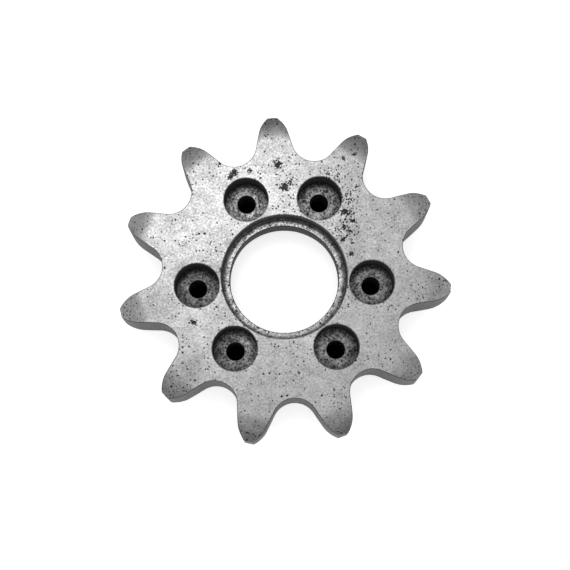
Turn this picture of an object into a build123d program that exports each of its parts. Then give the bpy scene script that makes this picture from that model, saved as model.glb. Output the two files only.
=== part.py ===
from build123d import *
from math import asin, cos, pi, radians, sin, sqrt
import os

# Chain sprocket: one plate with a ring of teeth, a stepped bore and six counterbored bolt holes in three pairs.
# Millimetres. The origin is on the bore's axis at the back face, and the part lies on that face.
# +Z points out of the front face, and +Y runs midway between the two bolt holes of the first pair.

# Chain that the teeth drive
chain_pitch = 38.1
roller_diameter = 22.23
tooth_count = 11

# Teeth
tip_above_pitch_circle = 8.6
tip_land = 4.2
flank_angle = 13.5
root_clearance = 0.75
side_relief_radius = 25.0
side_relief_width = 12.0

# Plate
plate_thickness = 23.5

# Stepped bore
bore_diameter = 50.0
bore_lead_in = 0.4
recess_diameter = 57.5
recess_depth = 7.0
recess_corner = 0.8
relief_diameter = 53.0
relief_depth = 8.5

# Bolt holes
bolt_circle_diameter = 80.0
pair_count = 3
pair_spread = 50.0
bolt_hole_diameter = 8.4
counterbore_diameter = 20.4
counterbore_depth = 9.7

# Breaks on the front face's turned and drilled edges
recess_edge_break = 0.15
counterbore_edge_break = 0.15

# Room by which a cutting shape runs past the surface that it cuts
overrun = 1.0

# Sizes that follow from the driving ones
tooth_angle = 360.0 / tooth_count
half_tooth = radians(tooth_angle / 2)
flank = radians(flank_angle)
pitch_radius = chain_pitch / (2 * sin(half_tooth))
roller_radius = roller_diameter / 2
tip_radius = pitch_radius + tip_above_pitch_circle
root_radius = pitch_radius - roller_radius - root_clearance
bore_radius = bore_diameter / 2
recess_radius = recess_diameter / 2
relief_radius = relief_diameter / 2
bolt_circle_radius = bolt_circle_diameter / 2
pair_step = 360.0 / pair_count
first_pair_angle = 90.0

# One tooth stands straight outside the second hole of the pair before the first
tooth_turn = first_pair_angle - pair_step + pair_spread / 2


def polar(radius, angle):
    """Point in the plate's plane at a radius and an angle in radians."""
    return Vector(radius * cos(angle), radius * sin(angle))


def gap_floor_radius():
    """Radius of the arc at the foot of a gap, tangent to the root circle and to both flanks.

    The flanks themselves touch a roller whose centre is on the pitch circle.
    """
    slope = sin(flank + half_tooth)
    return roller_radius - root_clearance * slope / (1 - slope)


def tooth_points():
    """Corners of one side of a tooth on +X: flank foot, flank end, middle of the topping arc, tip corner.

    The straight flank ends half way between its foot and the tip circle, and the topping arc leaves it smoothly.
    """
    floor = gap_floor_radius()
    towards_gap = Vector(sin(flank), cos(flank))
    outwards = Vector(cos(flank), -sin(flank))
    foot = polar(root_radius + floor, half_tooth) - towards_gap * floor

    along = foot.dot(outwards)
    flank_end_radius = (foot.length + tip_radius) / 2
    flank_length = sqrt(along**2 - foot.length**2 + flank_end_radius**2) - along
    end = foot + outwards * flank_length
    corner = polar(tip_radius, asin(tip_land / 2 / tip_radius))

    chord = end - corner
    topping_radius = chord.length**2 / (2 * chord.dot(towards_gap))
    centre = end - towards_gap * topping_radius
    crown = (end - centre) + (corner - centre)
    middle = centre + crown.normalized() * abs(topping_radius)
    return foot, end, middle, corner


def mirrored(point):
    """The same point on the other side of a tooth on +X."""
    return Vector(point.X, -point.Y)


def tooth_edges(index):
    """Edges of one tooth and of the gap that follows it."""
    foot, end, middle, corner = tooth_points()
    tip = polar(tip_radius, 0)
    gap_floor = polar(root_radius, half_tooth)
    next_foot = mirrored(foot).rotate(Axis.Z, tooth_angle)
    edges = [
        Edge.make_line(mirrored(foot), mirrored(end)),
        Edge.make_three_point_arc(mirrored(end), mirrored(middle), mirrored(corner)),
        Edge.make_three_point_arc(mirrored(corner), tip, corner),
        Edge.make_three_point_arc(corner, middle, end),
        Edge.make_line(end, foot),
        Edge.make_three_point_arc(foot, gap_floor, next_foot),
    ]
    return [edge.rotate(Axis.Z, tooth_turn + index * tooth_angle) for edge in edges]


def toothed_plate():
    """Plate of full thickness with the teeth cut straight through it."""
    edges = [edge for index in range(tooth_count) for edge in tooth_edges(index)]
    return extrude(Face(Wire(edges)), plate_thickness)


def section_point(radius, height):
    """Point of a turned section, which lies in the plane through the axis and +X."""
    return Vector(radius, 0, height)


def turned_blank():
    """Blank turned about the bore's axis: faces eased towards the rim, front recess, bore and back relief."""
    front = plate_thickness
    ledge = front - recess_depth
    rim = tip_radius + overrun
    ease_start = tip_radius - side_relief_width
    ease = asin((rim - ease_start) / side_relief_radius)
    drop = side_relief_radius * (1 - cos(ease))
    half_run = side_relief_radius * sin(ease / 2)
    half_drop = side_relief_radius * (1 - cos(ease / 2))
    corner_inset = recess_corner * (1 - sin(pi / 4))

    back_start = section_point(ease_start, 0)
    back_end = section_point(rim, drop)
    front_start = section_point(ease_start, front)
    front_end = section_point(rim, front - drop)
    recess_lip = section_point(recess_radius + recess_edge_break, front)
    recess_wall = section_point(recess_radius, front - recess_edge_break)
    corner_top = section_point(recess_radius, ledge + recess_corner)
    corner_middle = section_point(recess_radius - corner_inset, ledge + corner_inset)
    corner_foot = section_point(recess_radius - recess_corner, ledge)
    ledge_edge = section_point(bore_radius + bore_lead_in, ledge)
    bore_front = section_point(bore_radius, ledge - bore_lead_in)
    bore_back = section_point(bore_radius, relief_depth)
    relief_step = section_point(relief_radius, relief_depth)
    relief_edge = section_point(relief_radius, 0)

    edges = [
        Edge.make_line(relief_edge, back_start),
        Edge.make_three_point_arc(back_start, section_point(ease_start + half_run, half_drop), back_end),
        Edge.make_line(back_end, front_end),
        Edge.make_three_point_arc(front_end, section_point(ease_start + half_run, front - half_drop), front_start),
        Edge.make_line(front_start, recess_lip),
        Edge.make_line(recess_lip, recess_wall),
        Edge.make_line(recess_wall, corner_top),
        Edge.make_three_point_arc(corner_top, corner_middle, corner_foot),
        Edge.make_line(corner_foot, ledge_edge),
        Edge.make_line(ledge_edge, bore_front),
        Edge.make_line(bore_front, bore_back),
        Edge.make_line(bore_back, relief_step),
        Edge.make_line(relief_step, relief_edge),
    ]
    return revolve(Face(Wire(edges)), Axis.Z)


def bolt_seat():
    """Cutting shape of one bolt hole: through hole, counterbore and broken edge, on its own axis."""
    front = plate_thickness
    floor = front - counterbore_depth
    hole = bolt_hole_diameter / 2
    seat = counterbore_diameter / 2
    outline = [
        (0, -overrun),
        (hole, -overrun),
        (hole, floor),
        (seat, floor),
        (seat, front - counterbore_edge_break),
        (seat + counterbore_edge_break, front),
        (seat + counterbore_edge_break, front + overrun),
        (0, front + overrun),
    ]
    corners = [section_point(radius, height) for radius, height in outline]
    return revolve(Face(Wire.make_polygon(corners)), Axis.Z)


def bolt_hole_angles():
    """Angles of the holes, half a spread to each side of every pair's middle."""
    middles = [first_pair_angle + pair_step * pair for pair in range(pair_count)]
    return [middle + side * pair_spread / 2 for middle in middles for side in (-1, 1)]


def bolt_seats():
    """Cutting shapes of all the bolt holes."""
    seat = bolt_seat()
    return [seat.translate((bolt_circle_radius, 0, 0)).rotate(Axis.Z, angle) for angle in bolt_hole_angles()]


sprocket = toothed_plate() & turned_blank()
for seat in bolt_seats():
    sprocket -= seat

os.makedirs("parts", exist_ok=True)
export_step(sprocket, "parts/sprocket.step")

print("pitch radius", round(pitch_radius, 3), "root radius", round(root_radius, 3))
print("gap floor radius", round(gap_floor_radius(), 3))
print("volume", round(sprocket.volume), "box", sprocket.bounding_box().size)
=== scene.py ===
"""Looks, floor, light and camera for a flat chain sprocket of bare, pitted steel.

Metres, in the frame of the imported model: the bore's axis is Z and the plate lies on its back face.
"""
import math

import bpy
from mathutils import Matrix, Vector

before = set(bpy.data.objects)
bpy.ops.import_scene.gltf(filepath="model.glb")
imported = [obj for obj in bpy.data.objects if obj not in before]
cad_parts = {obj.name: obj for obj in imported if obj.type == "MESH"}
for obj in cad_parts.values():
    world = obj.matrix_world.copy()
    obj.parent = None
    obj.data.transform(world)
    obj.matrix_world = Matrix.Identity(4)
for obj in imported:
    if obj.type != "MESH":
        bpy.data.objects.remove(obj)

bl_info = {
    "name": "Chain sprocket looks",
    "version": (1, 0, 0),
    "blender": (4, 5, 0),
    "location": "View3D > Sidebar > Sprocket",
    "description": "Finishes the packed sprocket with pitted steel and sets its floor, light and camera",
    "category": "Object",
}

MM = 0.001


# Node helpers

class Net:
    """Adds nodes to one tree and hands back their output sockets."""

    def __init__(self, tree):
        self.tree = tree

    def feed(self, socket, value):
        """Links a socket, or sets it to a plain value."""
        if isinstance(value, bpy.types.NodeSocket):
            self.tree.links.new(value, socket)
        else:
            socket.default_value = value

    def node(self, kind, inputs=(), **settings):
        """One node with its settings, and its inputs as pairs of name and value."""
        made = self.tree.nodes.new(kind)
        for name, value in settings.items():
            setattr(made, name, value)
        for name, value in inputs:
            self.feed(made.inputs[name], value)
        return made

    def math(self, operation, *values):
        """A Math node on one to three values."""
        made = self.node("ShaderNodeMath", operation=operation)
        for socket, value in zip(made.inputs, values):
            self.feed(socket, value)
        return made.outputs[0]

    def vector(self, operation, *values):
        """A Vector Math node's vector result."""
        made = self.node("ShaderNodeVectorMath", operation=operation)
        for socket, value in zip(made.inputs, values):
            self.feed(socket, value)
        return made.outputs[0]

    def place(self):
        """Place on the object, in its own metres."""
        return self.node("ShaderNodeTexCoord").outputs["Object"]

    def split(self, vector):
        """A vector's outputs X, Y and Z."""
        return self.node("ShaderNodeSeparateXYZ", (("Vector", vector),)).outputs

    def length(self, vector):
        """A vector's length."""
        return self.node("ShaderNodeVectorMath", (("Vector", vector),), operation="LENGTH").outputs["Value"]

    def pick(self, operation, values):
        """The smallest or largest of some values, by MINIMUM or MAXIMUM."""
        found, *others = values
        for value in others:
            found = self.math(operation, found, value)
        return found

    def largest(self, values):
        """The largest of some values."""
        return self.pick("MAXIMUM", values)

    def nearest(self, place, centres):
        """Distance from a place to the nearest of some centres."""
        offsets = [self.vector("SUBTRACT", place, centre) for centre in centres]
        return self.pick("MINIMUM", [self.length(offset) for offset in offsets])

    def span(self, value, low, high, start=0.0, end=1.0):
        """A smooth step from start at low to end at high."""
        made = self.node("ShaderNodeMapRange", interpolation_type="SMOOTHSTEP")
        for name, number in (("From Min", low), ("From Max", high), ("To Min", start), ("To Max", end)):
            self.feed(made.inputs[name], number)
        self.feed(made.inputs["Value"], value)
        return made.outputs["Result"]

    def band(self, value, low, high, soft):
        """1 between two limits and 0 outside them, with soft ends."""
        rise = self.span(value, low - soft, low + soft)
        fall = self.span(value, high - soft, high + soft, 1.0, 0.0)
        return self.math("MULTIPLY", rise, fall)

    def below(self, value, limit):
        """1 under a limit and 0 over it, with a sharp step."""
        return self.span(value, limit - 0.05 * MM, limit, 1.0, 0.0)

    def blend(self, factor, first, second):
        """A number that goes from first to second."""
        made = self.node("ShaderNodeMix", data_type="FLOAT")
        for socket, value in zip(made.inputs[:4], (factor, None, first, second)):
            if value is not None:
                self.feed(socket, value)
        return made.outputs[0]

    def dim(self, value, mask, share):
        """A value that is smaller by a share of itself where a mask is 1."""
        return self.math("MULTIPLY", value, self.math("MULTIPLY_ADD", mask, -share, 1.0))

    def grey(self, tone):
        """A colour with the same tone in its three channels."""
        made = self.node("ShaderNodeCombineColor", [(name, tone) for name in ("Red", "Green", "Blue")])
        return made.outputs[0]

    def noise(self, place, size, detail=2.0, roughness=0.5):
        """Noise from 0 to 1 whose features are about the given size in metres."""
        inputs = (("Vector", place), ("Scale", 1.0 / size), ("Detail", detail), ("Roughness", roughness))
        return self.node("ShaderNodeTexNoise", inputs).outputs["Fac"]

    def shaken(self, place, size, reach):
        """A place moved about by noise, which makes round marks ragged."""
        wave = self.node("ShaderNodeTexNoise", (("Vector", place), ("Scale", 1.0 / size), ("Detail", 1.0)))
        push = self.node("ShaderNodeVectorMath", operation="MULTIPLY_ADD")
        self.feed(push.inputs[0], self.vector("SUBTRACT", wave.outputs["Color"], (0.5, 0.5, 0.5)))
        self.feed(push.inputs[1], (reach, reach, 0.0))
        self.feed(push.inputs[2], place)
        return push.outputs[0]


def new_group(name, inputs, outputs):
    """An empty shader group with its sockets: returns the tree, its net, and its input and output nodes."""
    tree = bpy.data.node_groups.new(name, "ShaderNodeTree")
    for label, kind, default in inputs:
        socket = tree.interface.new_socket(name=label, in_out="INPUT", socket_type=kind)
        if default is not None:
            socket.default_value = default
    for label, kind in outputs:
        tree.interface.new_socket(name=label, in_out="OUTPUT", socket_type=kind)
    net = Net(tree)
    return tree, net, net.node("NodeGroupInput"), net.node("NodeGroupOutput")


def use_group(net, tree, **inputs):
    """Puts a group into a tree, with its inputs fed by name."""
    return net.node("ShaderNodeGroup", node_tree=tree, inputs=inputs.items())


def new_material(name):
    """A new material with its net and its Principled shader."""
    material = bpy.data.materials.new(name)
    material.use_nodes = True
    return material, Net(material.node_tree), material.node_tree.nodes["Principled BSDF"]


# Settings

class SprocketSteel(bpy.types.PropertyGroup):
    """Finish of the steel."""

    face_tone: bpy.props.FloatProperty(
        name="Face tone", description="Brightness of the flat faces", default=0.37, min=0.0, max=1.0,
        subtype="FACTOR")
    flank_tone: bpy.props.FloatProperty(
        name="Flank tone", description="Brightness of the tooth flanks and gaps", default=0.1, min=0.0,
        max=1.0, subtype="FACTOR")
    seat_tone: bpy.props.FloatProperty(
        name="Bolt seat tone", description="Brightness of the counterbore floors", default=0.12, min=0.0,
        max=1.0, subtype="FACTOR")
    wall_tone: bpy.props.FloatProperty(
        name="Wall tone", description="Brightness of the drilled and turned walls", default=0.05, min=0.0,
        max=1.0, subtype="FACTOR")
    # Painted shade on the eased tooth tips, in place of the darker surroundings that they reflect
    tip_painted_shade: bpy.props.FloatProperty(
        name="Tip shade", description="How much darker the dull tooth tips are", default=0.5, min=0.0,
        max=1.0, subtype="FACTOR")
    edge_width: bpy.props.FloatProperty(
        name="Edge width", description="Width of the worn edge round the teeth", default=0.3 * MM,
        min=0.0, subtype="DISTANCE", unit="LENGTH")
    pit_spacing: bpy.props.FloatProperty(
        name="Pit spacing", description="Spacing of the fine rust pits", default=1.6 * MM, min=0.1 * MM,
        subtype="DISTANCE", unit="LENGTH")


class SprocketStage(bpy.types.PropertyGroup):
    """Floor, light and camera."""

    floor_tone: bpy.props.FloatVectorProperty(
        name="Floor", description="Colour of the floor", default=(0.93, 0.93, 0.93), min=0.0, max=1.0,
        subtype="COLOR")
    sky_strength: bpy.props.FloatProperty(
        name="Overhead light", description="Strength of the soft light from above", default=0.76, min=0.0)
    horizon_strength: bpy.props.FloatProperty(
        name="Backdrop light", description="Strength of the light from the pale backdrop all round",
        default=0.85, min=0.0)
    floor_glow: bpy.props.FloatProperty(
        name="Floor glow", description="Light that comes up through the white floor", default=0.65, min=0.0)
    key_power: bpy.props.FloatProperty(
        name="Key light", description="Power of the soft light over the far left side", default=0.72, min=0.0,
        subtype="POWER", unit="POWER")
    lens: bpy.props.FloatProperty(
        name="Lens", description="Focal length for a 36 mm sensor", default=81.8, min=1.0,
        subtype="DISTANCE_CAMERA")


# Places on the part, in metres

PLATE_TOP = 23.5 * MM
LEDGE = 16.5 * MM
BORE = 25.0 * MM
RECESS = 28.75 * MM
BOLT_CIRCLE = 40.0 * MM
BOLT_HOLE = 4.2 * MM
BOLT_SEAT = 10.2 * MM
EASE_START = 64.2 * MM
TIP = 76.2 * MM

# Angles of the bolt holes in degrees, half a spread to each side of every pair's middle
PAIR_MIDDLES = (90.0, 210.0, 330.0)
PAIR_SPREAD = 50.0
HOLE_ANGLES = [middle + side * PAIR_SPREAD / 2 for middle in PAIR_MIDDLES for side in (-1, 1)]

# Larger pits on the front face: place and reach in millimetres
LARGE_PITS = (
    ((-1.7, 52.6), 1.9),
    ((0.9, 42.1), 1.9),
    ((3.7, 44.4), 1.1),
    ((-22.3, 49.2), 1.3),
    ((-23.6, 47.2), 1.4),
    ((-28.5, 53.5), 1.0),
    ((-14.8, 49.5), 0.9),
    ((-41.0, -21.0), 1.0),
    ((-42.3, -20.3), 0.8),
    ((-28.1, 2.7), 1.2),
    ((29.1, 29.1), 1.6),
    ((27.2, 29.8), 1.2),
    ((31.8, 25.5), 1.3),
    ((28.1, 22.4), 1.3),
    ((30.6, 20.3), 1.1),
    ((27.1, 16.2), 1.3),
    ((30.5, 9.5), 1.0),
    ((34.5, 41.2), 1.0),
    ((33.7, 57.3), 0.9),
    ((28.4, 55.3), 0.8),
)

# Stretches of the front face where fine pits lie close together, in the same way
DENSE_PITTING = (
    ((28.5, 28.0), 9.0),
    ((29.0, 20.0), 8.0),
    ((25.0, 17.0), 5.0),
    ((30.0, 37.0), 7.0),
    ((23.0, 47.0), 6.0),
)

# Broad dull stains on the front face, in the same way
STAINS = (
    ((-57.0, -11.0), 13.0),
    ((-42.0, -41.0), 10.0),
    ((-34.0, 0.0), 9.0),
    ((-46.7, 4.9), 4.0),
)

# Share of a mark's reach over which it is at its full strength
SOFT_CORE = 0.2
PIT_CORE = 0.7

# Share by which the front face is darker in a stain, and at a lip by painted shade that stands in for the dark
# reflection in its small edge break
STAIN_SHADE = 0.28
LIP_SHADE = 0.65

# Distances from the X axis between which the painted shade on the tooth tips grows, and the shares of the tip
# shade there; the shade stands in for the darker surroundings that the eased tips reflect
TIP_SHADE_SPAN = (10 * MM, 74 * MM)
TIP_SHADE_SHARES = (0.35, 1.2)

# Stretch of X in which the bolt seats are darker at its left end, and the shares of their tone there
LEFT_SPAN = (-40 * MM, -15 * MM)
LEFT_SHARES = (0.55, 1.0)

# Tones of the ledge near the bore and near the recess's wall, where it is darker by painted shade of the corner
# with some dirt, and of the edges round the bolt holes
LEDGE_SHADE_TONES = (0.33, 0.07)
HOLE_RIM_TONE = 0.2

# Sizes of the steel's patterns, from broad patches down to single grains, and of its lines and pits
PATCH_SIZE = 24 * MM
CLOUD_SIZE = 4.5 * MM
GRAIN_SIZE = 0.9 * MM
LINE_SIZE = 1.2 * MM
PIT_CLOUD_SIZE = 14 * MM
PIT_CLUMP_SIZE = 4 * MM
COARSE_PIT_SPACING = 2.6 * MM
MERGED_PIT_SPACING = 1.2 * MM
RAGGED_SIZE = 1.3 * MM
RAGGED_REACH = 4.0 * MM
PIT_DEPTH = 0.12 * MM

# Edge break: seams closer than this are joined, faces that differ by less than the first angle are
# flattened, and edges sharper than the second angle are broken
SEAM_GAP = 1e-6
FLAT_WITHIN = math.radians(0.2)
SHARP_OVER = math.radians(70)

# Tone in the pits, which nothing is darker than
DARKEST = 0.012

# The floor, which lies a little under the back face so that the two never share a plane
FLOOR_SIZE = 6.0
FLOOR_GAP = 0.05 * MM

# How far past a bolt hole its painted shadow disc on the floor begins to fade and is gone
SHADOW_DISC_FADE = (0.6 * MM, 0.9 * MM)

# Heights, up to 1 overhead, between which the backdrop's light gives way to the light from above
SKY_FADE = (0.25, 0.9)

# The soft key light over the far left side
KEY_PLACE = (-0.085, 0.235, 0.74)
KEY_SIZE = 0.26

# The camera: its turns about X, Y and Z are in degrees, and its sensor's width is in millimetres
CAMERA_PLACE = (-2.841 * MM, -112.128 * MM, 601.916 * MM)
CAMERA_TURNS = (10.5834, -0.0989, -1.1113)
SENSOR_WIDTH = 36.0
NEAREST_SEEN = 0.01


def hole_centres():
    """Centres of the bolt holes on the floor."""
    turns = [math.radians(angle) for angle in HOLE_ANGLES]
    return [(BOLT_CIRCLE * math.cos(turn), BOLT_CIRCLE * math.sin(turn), 0.0) for turn in turns]


# Shader groups

def zones_group():
    """Masks that tell the surfaces of the plate apart by their place and slope."""
    skin = 0.1 * MM
    margin = 0.3 * MM
    lip_width = 0.4 * MM
    tip_sway = 8 * MM
    names = ("Radius", "Hole", "Level", "Seat", "Recess", "Bore", "Lip", "Tip")
    tree, net, _, out = new_group("plate zones", [], [(name, "NodeSocketFloat") for name in names])
    split = net.split(net.place())
    height = split["Z"]
    flat = net.node("ShaderNodeCombineXYZ", (("X", split["X"]), ("Y", split["Y"]))).outputs[0]
    radius = net.length(flat)
    hole = net.nearest(flat, hole_centres())
    slope = net.math("ABSOLUTE", net.split(net.node("ShaderNodeNewGeometry").outputs["True Normal"])["Z"])
    inside = net.band(height, skin, PLATE_TOP - skin, 0.03 * MM)
    lip = net.math("MAXIMUM", net.band(radius, RECESS, RECESS + lip_width, skin),
                   net.band(hole, BOLT_SEAT, BOLT_SEAT + lip_width, skin))
    front = net.span(height, PLATE_TOP - lip_width, PLATE_TOP - margin)
    sway = net.math("SUBTRACT", net.noise(flat, tip_sway), 0.5)
    results = {
        "Radius": radius,
        "Hole": hole,
        "Level": net.span(slope, 0.45, 0.6),
        "Seat": net.math("MULTIPLY", inside, net.below(hole, BOLT_SEAT + margin)),
        "Recess": net.math("MULTIPLY", inside, net.below(radius, RECESS + margin)),
        "Bore": net.math("MULTIPLY", net.below(radius, RECESS), net.below(height, LEDGE - 0.05 * MM)),
        "Lip": net.math("MULTIPLY", lip, front),
        "Tip": net.span(net.math("MULTIPLY_ADD", sway, tip_sway, radius), EASE_START - 1.5 * MM, TIP),
    }
    for name, value in results.items():
        net.feed(out.inputs[name], value)
    return tree


def pits_group():
    """Rust pits scattered over the level faces: a mask that is 1 in a pit."""
    inputs = [("Spacing", "NodeSocketFloat", 1.6 * MM), ("Share", "NodeSocketFloat", 0.5),
              ("Widest", "NodeSocketFloat", 0.3), ("Shift", "NodeSocketFloat", 0.0)]
    tree, net, given, out = new_group("rust pits", inputs, [("Pit", "NodeSocketFloat")])
    place = net.shaken(net.place(), 0.6 * MM, 0.45 * MM)
    moved = net.vector("ADD", place, given.outputs["Shift"])
    cells = net.node("ShaderNodeTexVoronoi", (("Vector", moved),), feature="F1", voronoi_dimensions="2D")
    net.feed(cells.inputs["Scale"], net.math("DIVIDE", 1.0, given.outputs["Spacing"]))
    dice = net.node("ShaderNodeSeparateColor", (("Color", cells.outputs["Color"]),)).outputs
    there = net.math("LESS_THAN", dice["Red"], given.outputs["Share"])
    width = net.math("MULTIPLY", net.math("MULTIPLY_ADD", dice["Green"], 0.6, 0.4), given.outputs["Widest"])
    bowl = net.span(cells.outputs["Distance"], net.math("MULTIPLY", width, 0.35), width, 1.0, 0.0)
    net.feed(out.inputs["Pit"], net.math("MULTIPLY", bowl, there))
    return tree


def mottle_group():
    """Cloudy and grainy change of tone, about 0, from broad patches down to single grains."""
    layers = (("Broad", PATCH_SIZE, 2.0), ("Middle", CLOUD_SIZE, 3.0), ("Grain", GRAIN_SIZE, 2.0))
    inputs = [(name, "NodeSocketFloat", 0.1) for name, _, _ in layers]
    tree, net, given, out = new_group("mottle", inputs, [("Change", "NodeSocketFloat")])
    place = net.place()
    total = 0.0
    for name, size, detail in layers:
        wave = net.math("SUBTRACT", net.noise(place, size, detail, 0.6), 0.5)
        total = net.math("MULTIPLY_ADD", wave, given.outputs[name], total)
    net.feed(out.inputs["Change"], total)
    return tree


# Steel

def spot(net, place, centre, reach, core):
    """1 at a marked place on the front face, falling from the core's share of the reach to 0 at the reach."""
    offset = net.vector("SUBTRACT", place, (centre[0] * MM, centre[1] * MM, PLATE_TOP))
    return net.span(net.length(offset), core * reach * MM, reach * MM, 1.0, 0.0)


def face_tone(net, place, zones, cloudy, settings):
    """Flat faces: light and cloudy, darker in the stains, and darker at the lips and towards the tips by
    painted shade.

    The painted shade on the tips stands in for the darker surroundings that the eased tips reflect, and is
    strongest at the two ends of Y.
    """
    tone = net.math("MULTIPLY_ADD", cloudy, settings.face_tone, settings.face_tone)
    # Painted shade on the tips, growing towards the two ends of Y, where the tips reflect darker surroundings
    along = net.math("ABSOLUTE", net.split(place)["Y"])
    shaded = net.span(along, *TIP_SHADE_SPAN, *(share * settings.tip_painted_shade for share in TIP_SHADE_SHARES))
    tone = net.dim(tone, net.math("MULTIPLY", shaded, zones["Tip"]), 1.0)
    for centre, reach in STAINS:
        tone = net.dim(tone, spot(net, place, centre, reach, SOFT_CORE), STAIN_SHADE)
    # Painted shade at the lips, in place of the dark reflection in their small edge break
    return net.dim(tone, zones["Lip"], LIP_SHADE)


def seat_tone(net, place, zones, marbled, settings):
    """Bolt seats: marbled floor, lighter round the hole and darker towards the counterbore wall by painted
    shade of the wall, darker at the left, and a near black wall.
    """
    tone = net.math("MULTIPLY_ADD", marbled, settings.seat_tone, settings.seat_tone)
    # Painted shade: the seat floor darkens from the hole out towards the counterbore wall
    seat_wall_shade = net.span(zones["Hole"], 1.2 * BOLT_HOLE, 0.9 * BOLT_SEAT, 1.25, 0.6)
    at_left = net.span(net.split(place)["X"], *LEFT_SPAN, *LEFT_SHARES)
    tone = net.math("MULTIPLY", net.math("MULTIPLY", tone, seat_wall_shade), at_left)
    return net.blend(zones["Level"], settings.wall_tone, tone)


def bore_tone(net, zones, marbled, lines, settings):
    """Stepped bore: a ledge that is light at its inner side and darker towards the recess's wall by painted
    shade of the corner with some dirt, and dark walls.
    """
    # Painted shade with some dirt: the ledge darkens towards the foot of the recess's wall
    ledge_corner_shade = net.span(zones["Radius"], BORE + 1 * MM, RECESS - 1 * MM, *LEDGE_SHADE_TONES)
    ledge = net.math("MULTIPLY", net.math("MULTIPLY_ADD", marbled, 0.7, 1.0), ledge_corner_shade)
    wall = net.math("MULTIPLY_ADD", lines, 0.05, settings.wall_tone)
    recess = net.blend(zones["Level"], wall, ledge)
    return net.blend(zones["Bore"], recess, net.math("MULTIPLY", wall, 1.2))


def pit_mask(net, place, zones, spacing):
    """1 in the pits: fine ones all over, close ones in clouds and at the tips, and the marked large ones."""
    tree = pits_group()
    clouds = net.span(net.noise(place, PIT_CLOUD_SIZE), 0.45, 0.7)
    clumps = net.span(net.noise(place, PIT_CLUMP_SIZE), 0.35, 0.6)
    round_large = tuple((centre, 2.2 * reach) for centre, reach in LARGE_PITS)
    marks = [spot(net, place, centre, reach, SOFT_CORE) for centre, reach in DENSE_PITTING + round_large]
    dense = net.math("MULTIPLY", net.largest(marks), net.math("MULTIPLY_ADD", clumps, 0.7, 0.3))
    close = net.largest((net.math("MULTIPLY", clouds, 0.5), dense, net.math("MULTIPLY", zones["Tip"], 0.45)))

    fine = use_group(net, tree, Spacing=spacing, Widest=0.33,
                     Share=net.math("MULTIPLY_ADD", close, 0.9, 0.1))
    coarse = use_group(net, tree, Spacing=COARSE_PIT_SPACING, Widest=0.3, Shift=31 * MM,
                       Share=net.math("MULTIPLY_ADD", close, 0.5, 0.03))
    merged = use_group(net, tree, Spacing=MERGED_PIT_SPACING, Widest=0.6, Shift=17 * MM,
                       Share=net.math("MULTIPLY", dense, 0.9))
    ragged = net.shaken(place, RAGGED_SIZE, RAGGED_REACH)
    large = [spot(net, ragged, centre, reach, PIT_CORE) for centre, reach in LARGE_PITS]
    pits = [group.outputs[0] for group in (fine, coarse, merged)] + large
    return net.math("MULTIPLY", net.largest(pits), zones["Level"])


def steel_material(settings, zones_tree):
    """Bare machined steel: cloudy faces with rust pits, dark flanks, walls and bolt seats."""
    material, net, shader = new_material("bare_steel")
    zones = use_group(net, zones_tree).outputs
    place = net.place()
    mottle = mottle_group()
    cloudy = use_group(net, mottle, Broad=0.6, Middle=0.7, Grain=1.6).outputs[0]
    marbled = use_group(net, mottle, Broad=0.0, Middle=3.4, Grain=5.0).outputs[0]

    # Faint lines along the plate's thickness, on the tooth flanks and the turned walls
    stretched = net.vector("MULTIPLY", place, (1.0, 1.0, 0.15))
    lines = net.math("SUBTRACT", net.noise(stretched, LINE_SIZE), 0.5)
    flank = net.math("MULTIPLY_ADD", lines, 0.08, settings.flank_tone)

    tone = net.blend(zones["Level"], flank, face_tone(net, place, zones, cloudy, settings))
    tone = net.blend(zones["Seat"], tone, seat_tone(net, place, zones, marbled, settings))
    tone = net.blend(zones["Recess"], tone, bore_tone(net, zones, marbled, lines, settings))
    pits = pit_mask(net, place, zones, settings.pit_spacing)
    tone = net.math("MAXIMUM", net.dim(tone, pits, 0.95), DARKEST)
    net.feed(shader.inputs["Base Color"], net.grey(tone))

    # Level faces are bare and glossy, upright ones rougher, and the bore's walls dull all through
    gloss = net.math("MULTIPLY_ADD", cloudy, -0.1, 0.34)
    bare = net.math("MULTIPLY_ADD", zones["Bore"], -0.4, 0.4)
    net.feed(shader.inputs["Roughness"], net.blend(zones["Level"], 0.7, gloss))
    net.feed(shader.inputs["Metallic"], net.blend(zones["Level"], bare, 0.95))
    net.feed(shader.inputs["Specular IOR Level"], net.math("MULTIPLY_ADD", zones["Bore"], -0.4, 0.5))

    height = net.math("MULTIPLY_ADD", pits, -1.0, net.math("MULTIPLY", cloudy, 0.06))
    bump = net.node("ShaderNodeBump", (("Height", height), ("Distance", PIT_DEPTH), ("Strength", 0.5)))
    net.feed(shader.inputs["Normal"], bump.outputs[0])
    return material


def edge_material(zones_tree):
    """Near black line along the broken edges, a painted shade in place of their dark reflections, with a faint
    noisy change of tone, darker still in the seats and the recess by more painted shade, and lighter round the
    bolt holes.
    """
    material, net, shader = new_material("broken_edge")
    zones = use_group(net, zones_tree).outputs
    # Painted shade: a near black tone on the broken edges, in place of their dark reflections
    tone = net.math("MULTIPLY_ADD", net.noise(net.place(), 3 * MM, 3.0), 0.1, 0.01)
    # More painted shade: the edge line is darker still in the bolt seats and the recess
    tone = net.dim(tone, net.math("MAXIMUM", zones["Seat"], zones["Recess"]), 0.7)
    tone = net.blend(net.below(zones["Hole"], 0.5 * BOLT_SEAT), tone, HOLE_RIM_TONE)
    net.feed(shader.inputs["Base Color"], net.grey(tone))
    net.feed(shader.inputs["Roughness"], net.math("MULTIPLY_ADD", tone, -0.4, 0.55))
    shader.inputs["Metallic"].default_value = 0.9
    return material


# Stage

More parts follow.
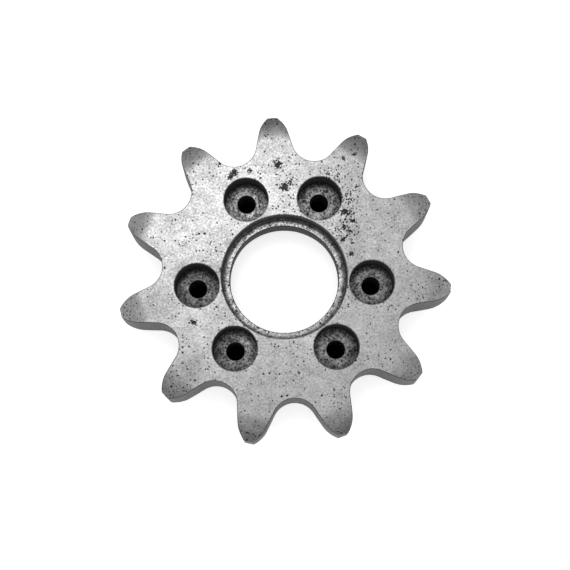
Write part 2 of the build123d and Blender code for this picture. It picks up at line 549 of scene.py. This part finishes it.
def floor_material(tone, glow):
    """White light table, with a painted shadow under the bolt holes: six small dark discs, so that the holes
    look black.

    It can be seen through from below, so that the underside of the plate shows.
    """
    material, net, shader = new_material("pale_floor")
    # Painted shadow: the floor is dark in a disc under each bolt hole
    hole = net.nearest(net.place(), hole_centres())
    unshadowed = net.span(hole, *(BOLT_HOLE + past for past in SHADOW_DISC_FADE))
    colour = net.node("ShaderNodeVectorMath", operation="SCALE")
    net.feed(colour.inputs["Vector"], tuple(tone))
    net.feed(colour.inputs["Scale"], unshadowed)
    for name in ("Base Color", "Emission Color"):
        net.feed(shader.inputs[name], colour.outputs[0])
    shader.inputs["Emission Strength"].default_value = glow
    shader.inputs["Roughness"].default_value = 0.9
    shader.inputs["Specular IOR Level"].default_value = 0.1

    from_below = net.node("ShaderNodeNewGeometry").outputs["Backfacing"]
    clear_glass = net.node("ShaderNodeBsdfTransparent").outputs[0]
    both = net.node("ShaderNodeMixShader")
    for socket, value in zip(both.inputs, (from_below, shader.outputs[0], clear_glass)):
        net.feed(socket, value)
    net.feed(material.node_tree.nodes["Material Output"].inputs["Surface"], both.outputs[0])
    return material


# Operators, in the order in which main calls them

class SPROCKET_OT_finish_plate(bpy.types.Operator):
    """Break the plate's edges and give it its steel"""

    bl_idname = "sprocket.finish_plate"
    bl_label = "Finish the plate"

    def execute(self, context):
        settings = context.scene.sprocket_steel
        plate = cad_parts["sprocket"]

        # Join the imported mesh's seams and flatten its faces first, so that the edge break runs on clean edges
        weld = plate.modifiers.new("join_seams", "WELD")
        weld.merge_threshold = SEAM_GAP
        flat = plate.modifiers.new("flatten_faces", "DECIMATE")
        flat.decimate_type = "DISSOLVE"
        flat.angle_limit = FLAT_WITHIN
        edge = plate.modifiers.new("broken_edges", "BEVEL")
        edge.width = settings.edge_width
        edge.segments = 2
        edge.limit_method = "ANGLE"
        edge.angle_limit = SHARP_OVER
        edge.use_clamp_overlap = False
        edge.material = 1
        even = plate.modifiers.new("even_shading", "WEIGHTED_NORMAL")
        even.weight = 50

        zones_tree = zones_group()
        plate.material_slots[0].material = steel_material(settings, zones_tree)
        plate.data.materials.append(edge_material(zones_tree))
        return {"FINISHED"}


class SPROCKET_OT_set_stage(bpy.types.Operator):
    """Lay the floor, set the light and place the camera"""

    bl_idname = "sprocket.set_stage"
    bl_label = "Set the stage"

    def execute(self, context):
        settings = context.scene.sprocket_stage
        self.lay_floor(context, settings)
        self.light(context, settings)
        self.place_camera(context, settings)
        return {"FINISHED"}

    def lay_floor(self, context, settings):
        bpy.ops.mesh.primitive_plane_add(size=FLOOR_SIZE, location=(0, 0, -FLOOR_GAP))
        floor = context.object
        floor.name = "floor"
        floor.data.materials.append(floor_material(settings.floor_tone, settings.floor_glow))

    def light(self, context, settings):
        world = bpy.data.worlds.new("pale_studio")
        world.use_nodes = True
        net = Net(world.node_tree)
        sky = world.node_tree.nodes["Background"]
        height = net.split(net.node("ShaderNodeTexCoord").outputs["Generated"])["Z"]
        net.feed(sky.inputs["Strength"],
                 net.span(height, *SKY_FADE, settings.horizon_strength, settings.sky_strength))
        sky.inputs["Color"].default_value = (1.0, 1.0, 1.0, 1.0)
        context.scene.world = world

        lamp = bpy.data.lights.new("key", "AREA")
        lamp.shape = "SQUARE"
        lamp.size = KEY_SIZE
        lamp.energy = settings.key_power
        key = bpy.data.objects.new("key", lamp)
        key.location = KEY_PLACE
        key.rotation_euler = Vector(KEY_PLACE).to_track_quat("Z", "Y").to_euler()
        context.scene.collection.objects.link(key)

    def place_camera(self, context, settings):
        camera = bpy.data.cameras.new("camera")
        camera.lens = settings.lens
        camera.sensor_width = SENSOR_WIDTH
        camera.clip_start = NEAREST_SEEN
        thing = bpy.data.objects.new("camera", camera)
        thing.location = CAMERA_PLACE
        thing.rotation_euler = [math.radians(angle) for angle in CAMERA_TURNS]
        context.scene.collection.objects.link(thing)
        context.scene.camera = thing
        context.scene.view_settings.view_transform = "Standard"


class SPROCKET_PT_looks(bpy.types.Panel):
    """Sidebar page with the sprocket's looks"""

    bl_idname = "SPROCKET_PT_looks"
    bl_label = "Sprocket"
    bl_space_type = "VIEW_3D"
    bl_region_type = "UI"
    bl_category = "Sprocket"

    def draw(self, context):
        for group in (context.scene.sprocket_steel, context.scene.sprocket_stage):
            box = self.layout.box()
            for name in group.bl_rna.properties.keys():
                if name not in ("rna_type", "name"):
                    box.prop(group, name)
        self.layout.operator(SPROCKET_OT_finish_plate.bl_idname)
        self.layout.operator(SPROCKET_OT_set_stage.bl_idname)


CLASSES = (
    SprocketSteel,
    SprocketStage,
    SPROCKET_OT_finish_plate,
    SPROCKET_OT_set_stage,
    SPROCKET_PT_looks,
)


def register():
    """Adds the settings, operators and panel to Blender."""
    for cls in CLASSES:
        bpy.utils.register_class(cls)
    bpy.types.Scene.sprocket_steel = bpy.props.PointerProperty(type=SprocketSteel)
    bpy.types.Scene.sprocket_stage = bpy.props.PointerProperty(type=SprocketStage)


def unregister():
    """Takes them out again."""
    del bpy.types.Scene.sprocket_stage
    del bpy.types.Scene.sprocket_steel
    for cls in reversed(CLASSES):
        bpy.utils.unregister_class(cls)


def main():
    """Builds the scene."""
    register()
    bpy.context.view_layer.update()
    bpy.ops.sprocket.finish_plate()
    bpy.ops.sprocket.set_stage()


if __name__ == "__main__":
    main()
